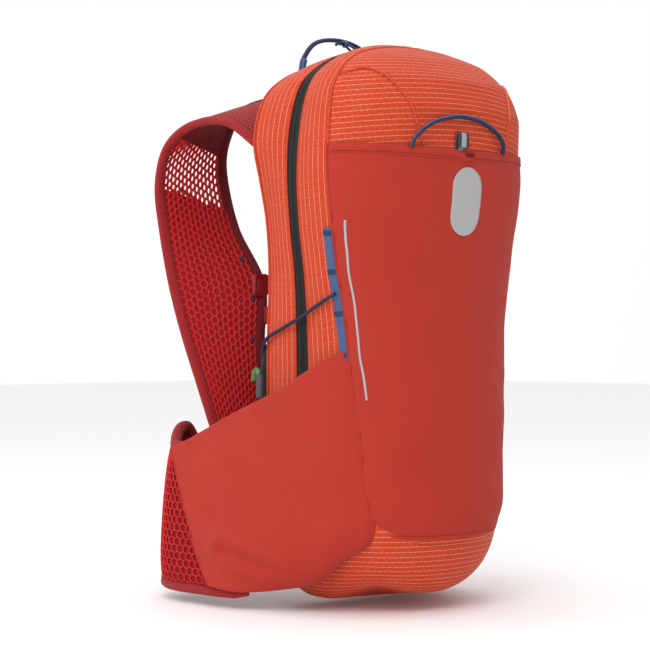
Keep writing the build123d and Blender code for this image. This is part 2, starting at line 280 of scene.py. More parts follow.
def ribGroup():
    # flat webbing: slanted picks in narrow columns
    column = 1.8
    tree, w, given, out = newGroup("webbingRibs", {"rib": 1.1, "base": hue(0.07, 0.13, 0.3), "contrast": 0.5})
    x, y = w.split(given["Place"])
    slant = w.plus(y, w.times(w.math("PINGPONG", x, column), 0.8))
    rib = w.math("SINE", w.times(slant, w.over(2 * math.pi, given["rib"])))
    wale = w.math("SINE", w.times(x, 2 * math.pi / column))
    pattern = w.plus(w.times(rib, 0.5), w.times(wale, 0.3))
    fuzz = w.noise(given["Place"], 1.6, 4.0)
    shade = w.times(w.plus(pattern, w.minus(fuzz, 0.5)), given["contrast"])
    w.join(w.brighten(given["base"], shade), out["Colour"])
    w.join(w.plus(pattern, w.times(fuzz, 0.5)), out["Height"])
    return tree


def knitGroup():
    # fine knitted mesh: rows of small dark holes
    inputs = {"pitch": 2.4, "hole": 0.34, "base": hue(0.4, 0.03, 0.03), "dark": hue(0.03, 0.008, 0.01)}
    tree, w, given, out = newGroup("holedKnit", inputs)
    x, y = w.split(given["Place"])
    row = w.over(y, given["pitch"])
    odd = w.times(w.math("MODULO", w.math("FLOOR", row), 2.0), 0.5)
    along = w.minus(w.math("FRACT", w.plus(w.over(x, given["pitch"]), odd)), 0.5)
    across = w.minus(w.math("FRACT", row), 0.5)
    away = w.math("SQRT", w.plus(w.times(along, along), w.times(across, across)))
    hole = w.times(w.minus(given["hole"], away), 9.0, clamp=True)
    fuzz = w.noise(given["Place"], 1.5)
    base = w.mix(w.times(fuzz, 0.35), given["base"], hue(0.12, 0.008, 0.01))
    w.join(w.mix(hole, base, given["dark"]), out["Colour"])
    w.join(w.minus(1.0, hole), out["Height"])
    return tree


def mouldGroup():
    # moulded or enamelled surface: fine texture and scuffs
    inputs = {"grain": 900.0, "base": hue(0.03, 0.03, 0.03), "rough": 0.45}
    tree, w, given, out = newGroup("mouldedSkin", inputs, ("Colour", "Height", "Roughness"))
    scuff = w.noise(given["Place"], 120.0, 6.0, 0.75)
    worn = w.times(w.minus(scuff, 0.6), 4.0, clamp=True)
    w.join(w.mix(w.times(worn, 0.3), given["base"], hue(0.3, 0.3, 0.3)), out["Colour"])
    w.join(w.noise(given["Place"], given["grain"], 4.0), out["Height"])
    w.join(w.plus(given["rough"], w.times(w.minus(scuff, 0.5), 0.4), clamp=True), out["Roughness"])
    return tree


groups = {
    "ripstop": ripstopGroup(),
    "weave": weaveGroup(),
    "rib": ribGroup(),
    "knit": knitGroup(),
    "mould": mouldGroup(),
}
bumpDepth = 0.0006
clothShine = 0.18


def dressed(group, base, rough, bump, sheen=0.0, metal=0.0, **settings):
    # a material of one of the groups; cloth is wired to the piece's cloth attribute
    paint = bpy.data.materials.new(group)
    paint.use_nodes = True
    w = Wiring(paint.node_tree)
    shader = paint.node_tree.nodes["Principled BSDF"]
    part = w.node("ShaderNodeGroup")
    part.node_tree = groups[group]
    if group == "mould":
        w.join(w.node("ShaderNodeTexCoord").outputs["Object"], part.inputs[0])
        settings["rough"] = rough
        w.join(part.outputs["Roughness"], shader.inputs["Roughness"])
    else:
        w.join(w.node("ShaderNodeAttribute", attribute_name="cloth").outputs["Vector"], part.inputs[0])
        shader.inputs["Specular IOR Level"].default_value = clothShine
        w.join(w.minus(rough, w.times(part.outputs["Height"], 0.12)), shader.inputs["Roughness"])
    for key, value in dict(settings, base=hue(*base)).items():
        part.inputs[key].default_value = value
    w.join(part.outputs["Colour"], shader.inputs["Base Color"])
    lift = w.node("ShaderNodeBump")
    lift.inputs["Strength"].default_value = bump
    lift.inputs["Distance"].default_value = bumpDepth
    w.join(part.outputs["Height"], lift.inputs["Height"])
    w.join(lift.outputs[0], shader.inputs["Normal"])
    shader.inputs["Metallic"].default_value = metal
    shader.inputs["Sheen Weight"].default_value = sheen
    return paint


# each finish is its group, base colour, roughness, bump and what else the group is told
finish = {
    "ripstopBand": dressed("ripstop", (0.54, 0.048, 0.012), 0.6, 0.3, gap=6.4, width=0.75,
                           thread=hue(0.74, 0.34, 0.22)),
    "ripstopFront": dressed("ripstop", (0.56, 0.050, 0.013), 0.58, 0.3, gap=4.6, width=0.62, dash=5.0,
                            thread=hue(0.78, 0.38, 0.25)),
    "lining": dressed("weave", (0.33, 0.34, 0.36), 0.7, 0.3, yarn=0.5),
    "stretch": dressed("weave", (0.43, 0.034, 0.021), 0.85, 0.22, 0.04, yarn=0.6, drift=0.16, slub=0.24),
    "binding": dressed("rib", (0.33, 0.018, 0.019), 0.8, 0.4, 0.05, rib=0.9, contrast=0.25),
    "bindingDark": dressed("rib", (0.15, 0.01, 0.012), 0.8, 0.4, 0.04, rib=0.9, contrast=0.3),
    "strand": dressed("weave", (0.60, 0.022, 0.024), 0.7, 0.5, yarn=0.35, slub=0.5),
    "backing": dressed("knit", (0.34, 0.012, 0.015), 0.8, 0.5, pitch=1.7, hole=0.3, dark=hue(0.12, 0.004, 0.006)),
    "fineKnit": dressed("knit", (0.42, 0.032, 0.035), 0.8, 0.6, 0.03, pitch=2.6, hole=0.3,
                        dark=hue(0.035, 0.01, 0.012)),
    "yokeKnit": dressed("knit", (0.40, 0.03, 0.028), 0.8, 0.6, pitch=3.9, hole=0.33, dark=hue(0.05, 0.008, 0.009)),
    "darkKnit": dressed("knit", (0.24, 0.014, 0.015), 0.85, 0.6, pitch=3.0, hole=0.34,
                        dark=hue(0.012, 0.006, 0.008)),
    "zip": dressed("rib", (0.012, 0.011, 0.011), 0.6, 0.2, rib=0.8, contrast=0.2),
    "blueWeb": dressed("rib", (0.066, 0.118, 0.25), 0.7, 0.5, rib=1.4, contrast=0.5),
    "navyWeb": dressed("rib", (0.028, 0.038, 0.085), 0.65, 0.5, rib=1.2, contrast=0.6),
    "greyWeb": dressed("rib", (0.06, 0.062, 0.07), 0.75, 0.5, rib=1.2, contrast=0.5),
    "paleWeb": dressed("rib", (0.36, 0.37, 0.40), 0.6, 0.4, rib=1.2, contrast=0.3),
    "redWeb": dressed("rib", (0.22, 0.012, 0.016), 0.75, 0.5, rib=1.2, contrast=0.4),
    "reflective": dressed("knit", (0.52, 0.52, 0.53), 0.35, 0.2, pitch=0.7, hole=0.3, dark=hue(0.30, 0.30, 0.31)),
    "greenTag": dressed("weave", (0.14, 0.40, 0.12), 0.7, 0.3, yarn=0.4),
    "thread": dressed("weave", (0.20, 0.012, 0.014), 0.7, 0.4, yarn=0.3),
    "navyThread": dressed("weave", (0.03, 0.045, 0.10), 0.7, 0.4, yarn=0.3),
    "blackPlastic": dressed("mould", (0.024, 0.024, 0.027), 0.42, 0.15),
    "greyPlastic": dressed("mould", (0.05, 0.055, 0.07), 0.4, 0.15),
    "redPlastic": dressed("mould", (0.30, 0.012, 0.014), 0.38, 0.15),
    "enamel": dressed("mould", (0.02, 0.02, 0.021), 0.3, 0.1, metal=0.6, grain=500.0),
    "framePlastic": dressed("mould", (0.05, 0.05, 0.055), 0.5, 0.2),
}
for finishName, finishPaint in finish.items():
    finishPaint.name = finishName
print("materials mixed")


def sampled(spots, run, rows):
    # rows read at the given spots along their run
    return np.stack([np.interp(spots, run, rows[:, k]) for k in range(rows.shape[1])], -1)


def lengths(path):
    return np.r_[0, np.cumsum(np.linalg.norm(np.diff(path, axis=0), axis=1))]


def evenly(path, count):
    run = lengths(path)
    return sampled(np.linspace(0, run[-1], count), run, path)


def curveThrough(points, count):
    # an even, smooth run of points through the ones given
    given = np.array(points, float)
    ends = np.vstack([2 * given[0] - given[1], given, 2 * given[-1] - given[-2]])
    t = np.linspace(0, 1, 20, endpoint=False)[:, None]
    fine = []
    for a, b, c, d in zip(ends, ends[1:], ends[2:], ends[3:]):
        bend, twist = 2 * a - 5 * b + 4 * c - d, 3 * b - a - 3 * c + d
        fine.append(0.5 * (2 * b + (c - a) * t + bend * t ** 2 + twist * t ** 3))
    return evenly(np.vstack(fine + [given[-1:]]), count)


def unit(rows):
    rows = np.asarray(rows, float)
    return rows / np.maximum(np.linalg.norm(rows, axis=-1, keepdims=True), 1e-9)


def smoothStep(low, high, x):
    t = np.clip((x - low) / (high - low), 0, 1)
    return t * t * (3 - 2 * t)


def ripple(points, scale, seed):
    return np.array([noise.noise(Vector((p[0] * scale + seed, p[1] * scale, p[2] * scale))) for p in points])


def writeCloth(mesh, flat):
    # the cloth attribute is each point's place on the flat cloth, in mm
    rows = np.zeros((len(flat), 3), np.float32)
    rows[:, :2] = flat
    mesh.attributes.new("cloth", "FLOAT_VECTOR", "POINT").data.foreach_set("vector", rows.ravel())
    mesh.polygons.foreach_set("use_smooth", [True] * len(mesh.polygons))


def buildPiece(name, points, faces, cloth, paints, side=1):
    # side -1 makes the mirror image, with its faces turned back to front
    points = np.array(points, float)
    points[:, 0] *= side
    if side < 0:
        faces = [tuple(reversed(face)) for face in faces]
    mesh = bpy.data.meshes.new(name)
    mesh.from_pydata((points * mm).tolist(), [], faces)
    writeCloth(mesh, np.asarray(cloth, float)[:, :2])
    for paint in paints:
        mesh.materials.append(finish[paint])
    piece = bpy.data.objects.new(name, mesh)
    bpy.context.scene.collection.objects.link(piece)
    return piece


def gridFaces(rows, columns, wrap=False):
    faces = []
    for i in range(rows - 1):
        for j in range(columns if wrap else columns - 1):
            k = (j + 1) % columns
            faces.append((i * columns + j, i * columns + k, (i + 1) * columns + k, (i + 1) * columns + j))
    return faces


def gridCloth(grid):
    across = np.zeros(grid.shape[:2])
    along = np.zeros(grid.shape[:2])
    across[:, 1:] = np.cumsum(np.linalg.norm(np.diff(grid, axis=1), axis=2), axis=1)
    across -= across[:, -1:] / 2
    along[1:, :] = np.cumsum(np.linalg.norm(np.diff(grid, axis=0), axis=2), axis=0)
    return np.stack([across, along], 2)


def sheetPiece(name, grid, paint, thick, inside=None, side=1, cloth=None, turn=False):
    faces = gridFaces(*grid.shape[:2])
    if turn:
        faces = [tuple(reversed(face)) for face in faces]
    cloth = gridCloth(grid) if cloth is None else cloth
    paints = [paint] + ([inside] if inside else [])
    piece = buildPiece(name, grid.reshape(-1, 3), faces, cloth.reshape(-1, 2), paints, side)
    shell = piece.modifiers.new("thickness", "SOLIDIFY")
    shell.thickness = thick * mm
    shell.offset = -1.0
    if inside:
        shell.material_offset = 1
        shell.material_offset_rim = 0
    return piece


def place(piece, body=None, slot=None, stands=(), fold=None):
    # fold is (first body, second body, start, end) for cloth that crosses a joint; only whether it is given is
    # read, and such cloth is baked where it lies without joining a body
    if fold:
        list(fold)
        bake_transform(piece)
    else:
        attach(piece, body)
    if stands:
        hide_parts(*stands)


def sewn(name, grid, rides, paint, thick, inside="lining", **more):
    piece = sheetPiece(name, grid, paint, thick, inside, **more)
    place(piece, **rides)


def frames(path, up):
    along = unit(np.gradient(path, axis=0))
    across = unit(np.cross(along, np.broadcast_to(np.asarray(up, float), path.shape)))
    return across, unit(np.cross(across, along))


def loftPiece(name, grid, cloth, paints, side):
    # closed rings skinned into a tube with flat ends
    count, around = grid.shape[:2]
    faces = gridFaces(count, around, True)
    faces.append(tuple(reversed(range(around))))
    faces.append(tuple((count - 1) * around + k for k in range(around)))
    return buildPiece(name, grid.reshape(-1, 3), faces, cloth.reshape(-1, 2), paints, side)


def tubePiece(name, path, radii, paint, side=1, up=(0.01, 0.02, 1), around=12, taper=1.0, square=1.0, twist=0.0):
    path = np.asarray(path, float)
    across, above = frames(path, up)
    rx, ry = radii if isinstance(radii, tuple) else (radii, radii)
    run = lengths(path)
    c, s = np.cos(run * twist), np.sin(run * twist)
    rings, cloth = [], []
    for k in range(around):
        angle = 2 * math.pi * k / around
        x, y = (math.copysign(abs(v) ** square, v) for v in (math.cos(angle), math.sin(angle)))
        a, b = (x * c - y * s) * rx * taper, (x * s + y * c) * ry * taper
        rings.append(path + across * a[:, None] + above * b[:, None])
        cloth.append(np.stack([np.full(len(path), angle * max(rx, ry)), run], 1))
    return loftPiece(name, np.stack(rings, 1), np.stack(cloth, 1), [paint], side)


ribbonEdge = [(0.5, 0), (0.46, 0.38), (0.36, 0.5), (0.12, 0.46)]


def ribbonPiece(name, path, up, width, thick, paint, side=1):
    # flat webbing with slightly rounded edges
    path = np.asarray(path, float)
    across, above = frames(path, up)
    section = [(-a, b) for a, b in ribbonEdge] + ribbonEdge[::-1]
    section += [(a, -b) for a, b in ribbonEdge[1:]] + [(-a, -b) for a, b in ribbonEdge[:0:-1]]
    rings = [path + across * (a * width) + above * (b * thick) for a, b in section]
    cloth = [np.stack([np.full(len(path), a * width), lengths(path)], 1) for a, b in section]
    return loftPiece(name, np.stack(rings, 1), np.stack(cloth, 1), [paint], side)


def stitchRow(name, path, normals, pitch=2.6, length=1.8, radius=0.3, side=1):
    # a row of short raised threads along a path
    run = lengths(path)
    spots = np.arange(pitch, run[-1] - pitch, pitch)
    centre = sampled(spots, run, path)
    lift = unit(sampled(spots, run, np.broadcast_to(np.asarray(normals, float), path.shape)))
    along = unit(np.gradient(centre, axis=0))
    across = unit(np.cross(along, lift))
    points, faces = [], []
    for c, n, t, a in zip(centre, lift, along, across):
        faces += [tuple(len(points) + v for v in face) for face in gridFaces(4, 6, True)]
        for reach, fat in ((-0.5, 0.2), (-0.3, 0.8), (0.3, 0.8), (0.5, 0.2)):
            for k in range(6):
                angle = math.pi * k / 3
                off = a * math.cos(angle) + n * math.sin(angle)
                points.append(c + t * reach * length + off * radius * fat)
    return buildPiece(name, points, faces, np.array(points)[:, :2], ["thread"], side)


def meshed(piece):
    # bakes a piece's modifiers into its mesh
    bpy.context.view_layer.update()
    seen = bpy.context.evaluated_depsgraph_get()
    data = bpy.data.meshes.new_from_object(piece.evaluated_get(seen), depsgraph=seen)
    piece.modifiers.clear()
    piece.data = data


sides = (("left", 1), ("right", -1))
flapFold = ("pack", "flap", (0, -0.15, 0.172), (0, -0.15, 0.225))


def both(make, name, *args, body="pack", slot=None, node=None, fold=None, **more):
    # a piece on the left and its mirror image on the right; {} in a body's name is the side
    made = []
    for label, side in sides:
        piece = make(f"{name}_{label}", *args, side=side, **more)
        crossing = fold and (fold[0], fold[1].format(label), *((x * side, y, z) for x, y, z in fold[2:]))
        place(piece, body.format(label), slot, [f"{node}_{label}"] if node else (), crossing)
        made.append(piece)
    return made


bag = {
    "back": [(-80, 8, 40), (-88, 8, 90), (-91, 8, 160), (-91, 8, 230), (-89, 8, 290), (-92, 8, 335),
             (-100, 8, 372), (-107, 8, 402), (-103, 8, 428), (-92, 8, 448), (-72, 8, 463), (-46, 8, 474),
             (-20, 8, 481), (0, 8, 483)],
    "zip": [(-84, -40, 40), (-91, -41, 90), (-95, -42, 160), (-96, -42, 230), (-99, -42, 285),
            (-105, -42, 325), (-108, -42, 365), (-106, -42, 400), (-100, -42, 430), (-91, -42, 452),
            (-76, -42, 466), (-55, -42, 478), (-28, -42, 487), (0, -42, 490)],
    "seam": [(-60, -109, 55), (-79, -108, 84), (-84, -105, 110), (-88, -101, 166), (-93, -97, 207),
             (-97, -94, 255), (-105, -92, 300), (-112, -92, 350), (-114, -91, 385), (-111, -90, 430),
             (-103, -89, 453), (-80, -88, 474), (-42, -87, 484), (0, -87, 487)],
    "bulgeZ": [55, 84, 130, 240, 320, 390, 430, 455, 475, 487],
    "bulge": [29, 31, 33, 39, 47, 57, 57, 47, 26, 5],
    "powerZ": [240, 375, 425],
    "power": [1.3, 1.2, 0.92],
    "tape": 7.8,
    "zipStart": 198,
    "zipLift": [(0.15, 2.0), (0.5, 2.25), (1.1, 2.1), (2.2, 1.7), (4.6, 1.65), (8.4, 1.5)],
    "dart": [(-100, 457), (-88, 461), (-79, 456.5), (-72, 447), (-64, 431), (-52, 396)],
    "cloth": 1.1,
    "ringCount": 221,
}


def archRing(points):
    left = curveThrough(points, bag["ringCount"] // 2 + 1)
    return np.vstack([left, left[:-1][::-1] * (-1, 1, 1)])


rings = {name: archRing(bag[name]) for name in ("back", "zip", "seam")}
seamLeft = curveThrough(bag["seam"], 300)


def frontWidth(z):
    return -np.interp(z, seamLeft[:, 2], seamLeft[:, 0])


def frontSeamY(z):
    return np.interp(z, seamLeft[:, 2], seamLeft[:, 1])


def outlineOut(points):
    # outwards in the bag's outline as seen from the front
    return unit((points - (0, 0, 250.0)) * (1.0, 0.0, 0.55))


def levelOut(points):
    # outwards and level, from the bag's upright middle
    return unit((points - (0, -60, 0)) * (1, 1, 0))


def frontPoint(turn, z, proud=0.0):
    # turn runs from 0 at the left seam to pi at the right seam
    turn = np.asarray(turn, float)
    z = np.asarray(z, float) + np.zeros_like(turn)
    bulge = np.interp(z, bag["bulgeZ"], bag["bulge"])
    power = np.interp(z, bag["powerZ"], bag["power"])
    x = -(frontWidth(z) + proud) * np.cos(turn)
    y = frontSeamY(z) - (bulge + proud) * np.sin(turn) ** power
    return np.stack([x, y, z], -1)


def frontTurn(x, z):
    return np.arccos(np.clip(-np.asarray(x, float) / frontWidth(z), -1, 1))


def bandGrid(first, second, columns, bulge, insets):
    # cloth between two rings, bowed outwards a little
    span = np.linalg.norm(second - first, axis=1, keepdims=True)
    rows = []
    for share in np.linspace(0, 1, columns):
        reach = insets[0] / span + share * (1 - sum(insets) / span)
        line = first + (second - first) * reach
        rows.append(line + outlineOut(line) * (bulge * 4 * reach * (1 - reach)))
    return np.stack(rows, 1)


def makeBands():
    tape = bag["tape"]
    bands = (
        ("rearBand", "back", "zip", 12, 3.0, (0, tape), {"body": "pack", "stands": ["rear_gusset"]}),
        ("frontBand", "zip", "seam", 14, 4.0, (tape, 0), {"fold": flapFold}),
    )
    for name, first, second, columns, bulge, insets, rides in bands:
        grid = bandGrid(rings[first], rings[second], columns, bulge, insets)
        sewn(name, grid, dict(rides, slot="ripstop"), "ripstopBand", bag["cloth"])
    start = int(np.argmax(rings["zip"][:, 2] > bag["zipStart"]))
    keep = slice(start, bag["ringCount"] - start)
    path = rings["zip"][keep]
    out = outlineOut(path)
    for name, toward, body in (("rear", "back", "pack"), ("front", "seam", "flap")):
        way = unit((rings[toward] - rings["zip"])[keep])
        grid = np.stack([path + way * a + out * b for a, b in bag["zipLift"]], 1)
        piece = sheetPiece(f"zipTape_{name}", grid, "zip", 1.3, turn=name == "rear")
        place(piece, body, "zip_black", [f"zip_tape_{name}"])
        row = path + way * (tape - 1.0) + out * 1.9
        place(stitchRow(f"zipStitch_{name}", row, out, 2.4, 1.7, 0.28), body)
        seam = path + way * (tape + 0.3) + out * 1.5
        place(tubePiece(f"zipEdge_{name}", seam, (1.0, 0.7), "ripstopBand", up=(0, 1, 0.01)), body)


def makeFront():
    rows = np.r_[np.linspace(60, 440, 150), 440 + 47 * np.sin(np.linspace(0.03, math.pi / 2, 50))]
    grid = np.stack([frontPoint(np.linspace(0, math.pi, 61), z) for z in rows], 0)
    rides = {"slot": "ripstop", "stands": ["front_flap", "lower_front"], "fold": flapFold}
    sewn("frontPanel", grid, rides, "ripstopFront", bag["cloth"], cloth=gridCloth(grid)[:, :, ::-1])
    for ring, rides in (("back", {"body": "pack"}), ("seam", {"fold": flapFold})):
        piece = tubePiece(f"piping_{ring}", rings[ring][4:-4], 1.25, "ripstopBand", up=(0, 1, 0.01), around=10)
        place(piece, **rides)
    # shaped seam from each upper corner of the front down to the pocket
    flat = curveThrough(bag["dart"], 60)
    path = frontPoint(frontTurn(flat[:, 0], flat[:, 1]), flat[:, 1], 0.6)
    both(tubePiece, "frontDart", path, (1.2, 0.7), "ripstopFront", body="flap")


base = {
    "seam": [(0, 8, 84), (-60, 8, 84), (-87, 6, 84), (-91, -40, 84), (-88, -85, 84), (-79, -108, 84)],
    "high": 84.0,
    "rest": 7.0,
    "rise": 7.0,
    "corner": 9.0,
    "tuck": 0.42,
    "inset": 0.982,
    "middle": -46.0,
}


def makeBase():
    # rounded base, from the wall seam round to the flat underside
    high, rest, middle = base["high"], base["rest"], np.array([0, base["middle"], 0])
    front = frontPoint(np.linspace(0.08, math.pi / 2, 50), high)
    left = evenly(np.vstack([curveThrough(base["seam"], 80), front]), 100)
    ring = np.vstack([left, left[:-1][::-1] * (-1, 1, 1)])
    ring = (ring - middle) * base["inset"] + middle
    front = smoothStep(-20, -125, ring[:, 1])
    floor = rest + base["rise"] * front + base["corner"] * front * np.minimum(np.abs(ring[:, 0]) / 80, 1) ** 2
    rows = []
    for share in np.r_[np.linspace(0, 1, 40), 1.2, 1.5, 1.8, 2.0]:
        angle = min(share, 1) * math.pi / 2
        flat = max(share - 1, 0)
        shrink = (1 - base["tuck"] * (1 - math.cos(angle) ** 0.9)) * (1 - flat)
        row = (ring - middle) * shrink + middle
        row[:, 2] = high - (high - floor) * math.sin(angle) - flat * (floor - rest)
        rows.append(row)
    grid = np.stack(rows, 0)
    rides = {"body": "pack", "slot": "ripstop", "stands": ["base_panel"]}
    sewn("basePanel", grid, rides, "ripstopFront", bag["cloth"], cloth=gridCloth(grid)[:, :, ::-1], turn=True)


def makeBack():
    left = curveThrough(bag["back"], 200)
    spread = np.linspace(-1, 1, 41)
    grid = []
    for z in np.r_[np.linspace(20, 440, 90), 440 + 43 * np.sin(np.linspace(0.05, math.pi / 2, 30))]:
        wide = -np.interp(z, left[:, 2], left[:, 0]) - (max(0, 44 - z) ** 2) * 0.025
        grid.append(np.stack([spread * wide, 8.2 + np.cos(spread * math.pi / 2), np.full(41, z)], 1))
    rides = {"body": "pack", "slot": "back_foam", "stands": ["back_panel"]}
    sewn("backPanel", np.stack(grid, 0), rides, "fineKnit", 2.4, turn=True)


makeBands()
makeFront()
makeBase()
makeBack()
print("bag sewn")

pocket = {
    "top": 397.0,
    "low": 67.0,
    "proud": 2.6,
    "notch": (-6.0, 4.0, 6.5),
    "pucker": 0.85,
    "puckerReach": 9.0,
    "slack": 2.1,
    "lipTuck": 2.2,
    "hem": [(-0.4, 0.2), (0.3, 0.5), (0.8, -0.6), (0.8, -4), (0.7, -7.6), (0.1, -8.2)],
}


def pocketTop(x):
    middle, depth, spread = pocket["notch"]
    dip = depth * np.exp(-((x - middle) / spread) ** 2)
    return pocket["top"] - 3.0 * np.cos(x / 112 * math.pi / 2) - dip


def pocketProud(turn, z):
    side = np.sin(turn)
    proud = 1.6 + pocket["proud"] * np.minimum(side * 1.7, 1.0) ** 0.7
    proud = proud * (0.45 + 0.55 * smoothStep(pocket["low"], pocket["low"] + 45, z))
    lip = smoothStep(pocket["top"] - 26, pocket["top"] - 2, z) * np.minimum(side * 2, 1)
    return proud - pocket["lipTuck"] * lip


def stashPoint(turns, z):
    # outer face of the stash pocket, with its puckers and slack
    turns, z = np.broadcast_arrays(np.asarray(turns, float), np.asarray(z, float))
    turn, high = turns.ravel(), z.ravel()
    points = frontPoint(turn, high, pocketProud(turn, high))
    fromSeam = np.minimum(turn, math.pi - turn) * 62
    wave = np.sin(high / 3.1 + ripple(points, 0.02, 3) * 7) * 0.5
    wave += np.sin(high / 5.7 + ripple(points, 0.03, 8) * 6)
    pucker = wave * pocket["pucker"] * np.exp(-fromSeam / pocket["puckerReach"])
    pucker *= smoothStep(410, 300, high) * np.minimum(fromSeam / 3, 1)
    slack = ripple(points * (0.6, 0.6, 1.6), 0.017, 5) * pocket["slack"] * np.minimum(fromSeam / 30, 1)
    points[:, 1] -= (pucker + slack) * np.sin(turn) ** 0.5
    points[:, 0] -= pucker * np.cos(turn)
    return points.reshape(turns.shape + (3,))


def makeStash():
    turns = np.linspace(0, math.pi, 161)
    share = np.linspace(0, 1, 190)[:, None]
    high = pocketTop(-frontWidth(300) * np.cos(turns))[None, :]
    low = pocket["low"] + 2 - 3 * np.sin(turns)[None, :]
    z = low + (high - low) * share + 3 * (1 - np.minimum(np.sin(turns) * 1.6, 1))[None, :] * (1 - share)
    grid = stashPoint(np.broadcast_to(turns, z.shape), z)
    rides = {"slot": "stretch_cloth", "stands": ["stash_pocket_upper", "stash_pocket_lower"], "fold": flapFold}
    sewn("stashPocket", grid, rides, "stretch", 1.0)
    # hem along the mouth: a turned band with its stitch line
    mouth = grid[-1, 3:-3]
    out = levelOut(mouth)
    band = np.stack([mouth + out * a + (0, 0, b) for a, b in pocket["hem"]], 0)
    place(sheetPiece("pocketHem", band, "stretch", 0.8, turn=True), "flap", "stretch_cloth")
    place(stitchRow("hemStitch", mouth + out + (0, 0, -6.4), out), "flap")
    # seam rolls down both sides and under the pocket
    path = np.vstack([grid[::-1, 0], grid[0, 1:81]])
    path = evenly(path + levelOut(path) * 0.3, 160)
    both(tubePiece, "pocketSeam", path, 1.15, "stretch", slot="stretch_cloth", fold=flapFold, around=10)


def onStash(x, z, proud):
    points = stashPoint(frontTurn(x, z), z)
    points[..., 1] -= proud
    return points


patch = {"middle": (-5.0, 351.0), "size": (34.0, 58.0), "proud": 0.55}
stripe = {"high": 333.0, "low": 183.0, "turn": 0.31, "lean": 0.05, "half": 0.019, "proud": 0.45}


def makeTrims():
    # plain reflective patch with rounded ends
    wide, tall = patch["size"][0] / 2, patch["size"][1] / 2
    u, v = np.meshgrid(np.linspace(-1, 1, 21), np.sin(np.linspace(-1, 1, 61) * math.pi / 2))
    beyond = np.clip((np.abs(v) * tall - (tall - wide)) / wide, 0, 0.996)
    flat = np.stack([patch["middle"][0] + u * wide * np.sqrt(1 - beyond ** 2), patch["middle"][1] + v * tall], 2)
    points = onStash(flat[..., 0], flat[..., 1], patch["proud"])
    place(sheetPiece("frontPatch", points, "reflective", 0.35, cloth=flat), "flap", "reflective_tape")
    z = np.linspace(stripe["low"], stripe["high"], 90)
    wave = 0.006 * np.sin(z / 13) + 0.004 * np.sin(z / 5.3 + 1)
    turn = stripe["turn"] + stripe["lean"] * smoothStep(300, 180, z) + wave
    grid = np.stack([stashPoint(turn + k * stripe["half"], z) for k in (-1, -0.4, 0.4, 1)], 1)
    grid += levelOut(grid) * stripe["proud"]
    both(sheetPiece, "sideStripe", grid, "reflective", 0.35, slot="reflective_tape", fold=flapFold)


makeStash()
makeTrims()
print("stash pocket sewn")

sidePocket = {
    "top": [(-95, 225), (-70, 210), (-55, 200), (-43, 191.5), (-24, 183), (5, 171), (43, 154.5), (88, 136)],
    "plan": [(-111, -71), (-108, -79), (-105, -84), (-101, -88), (-95, -96), (-84, -105), (-70, -112),
             (-40, -122), (-5, -129), (12, -131.6), (30, -133), (100, -133.6)],
    "base": [(-111, -71, 71), (-100, -80, 59), (-79, -88, 46), (-58, -92, 28), (-28, -106, 20.5),
             (0, -123, 17), (20, -131, 18), (39, -133, 20)],
    "crease": [(22, 52), (-30, 36)],
    "creaseDepth": 2.4,
    "ridge": 2.6,
    "slack": (3.12, 1.04),
    "gather": 0.6,
    "round": 78.0,
    "seamReach": 0.1,
    "cloth": 1.1,
    "fold": ("pack", "wing_{}", (-0.128, -0.022, 0.1), (-0.128, 0.010, 0.1)),
}


def sideSurface(u, v):
    # u runs from the front seam to the rear edge, v from the base to the mouth
    top = curveThrough([(y, z, 0) for y, z in sidePocket["top"]], 200)
    plan = curveThrough([(y, x, 0) for y, x in sidePocket["plan"]], 300)
    low = curveThrough(sidePocket["base"], 200)
    spots = np.linspace(0, 1, 200)
    topY, topZ = np.interp(u, spots, top[:, 0]), np.interp(u, spots, top[:, 1])
    baseY, baseX, baseZ = (np.interp(u, spots, low[:, k]) for k in range(3))
    y = baseY + (topY - baseY) * v ** 0.8
    z = baseZ + (topZ - baseZ) * v
    wide = np.interp(y, plan[:, 0], plan[:, 1])
    drop = np.clip((sidePocket["round"] - z) / np.maximum(sidePocket["round"] - baseZ, 1), 0, 1)
    x = wide + (baseX - wide) * (1 - np.sqrt(1 - drop ** 2.2)) * smoothStep(30, -5, y)
    points = np.stack([x, y, z], -1)
    # the front edge lies on the bag's seam
    seam = np.stack([-frontWidth(z) - 0.8, frontSeamY(z), z], -1)
    points += (seam - points)[:, :1] * np.exp(-((u / sidePocket["seamReach"]) ** 2))[..., None]
    flat = points.reshape(-1, 3)
    edge = (np.minimum(u * 6, 1) * np.minimum((1 - u) * 9, 1) * np.minimum(v * 5, 1)).reshape(-1)
    slow, quick = sidePocket["slack"]
    soft = ripple(flat * (0.4, 1.0, 0.8), 0.014, 11) * slow + ripple(flat, 0.035, 21) * quick
    # one soft crease where the pocket turns under
    start, end = np.array(sidePocket["crease"])
    reach = np.clip((flat[:, 1:] - start) @ (end - start) / ((end - start) @ (end - start)), 0, 1)
    away = np.linalg.norm(flat[:, 1:] - start - reach[:, None] * (end - start), axis=1)
    soft -= sidePocket["creaseDepth"] * np.exp(-((away / 4.5) ** 2))
    soft += sidePocket["ridge"] * np.exp(-(((away - 11) / 6) ** 2))
    # small gathers where the mouth's elastic ends
    mouth = np.exp(-((1 - v) * 40) ** 2 / 30).reshape(-1)
    gather = np.exp(-((flat[:, 1] + 18) / 9) ** 2) + np.exp(-((flat[:, 1] - 62) / 10) ** 2)
    flat[:, 0] -= soft * edge + np.sin(flat[:, 1] / 2.6) * sidePocket["gather"] * gather * mouth
    return flat.reshape(points.shape)


